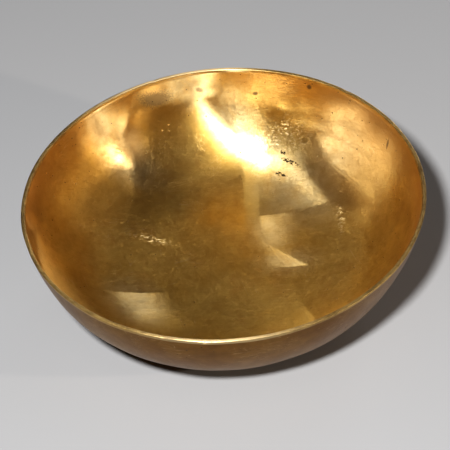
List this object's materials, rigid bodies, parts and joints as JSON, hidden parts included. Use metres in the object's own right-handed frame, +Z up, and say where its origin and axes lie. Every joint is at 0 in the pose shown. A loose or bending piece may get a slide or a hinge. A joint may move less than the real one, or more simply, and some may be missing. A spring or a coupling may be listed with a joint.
{
  "type": "singing bowl",
  "caption": "Wide shallow singing bowl: one thin beaten brass shell with gently flared walls, a flat filed rim and a small flat foot.",
  "frame": {"origin": "centre of the flat foot, on the surface that the bowl rests on", "axes": "+Z up along the bowl's axis, out of its mouth; X and Y are any two level directions, as the bowl is round"},
  "size_m": [0.1998, 0.1998, 0.0535],
  "materials": {
    "brass": "satin, turned inside, with light handling wear"
  },
  "bodies": {
    "root": {"bowl": "brass"}
  },
  "joints": []
}
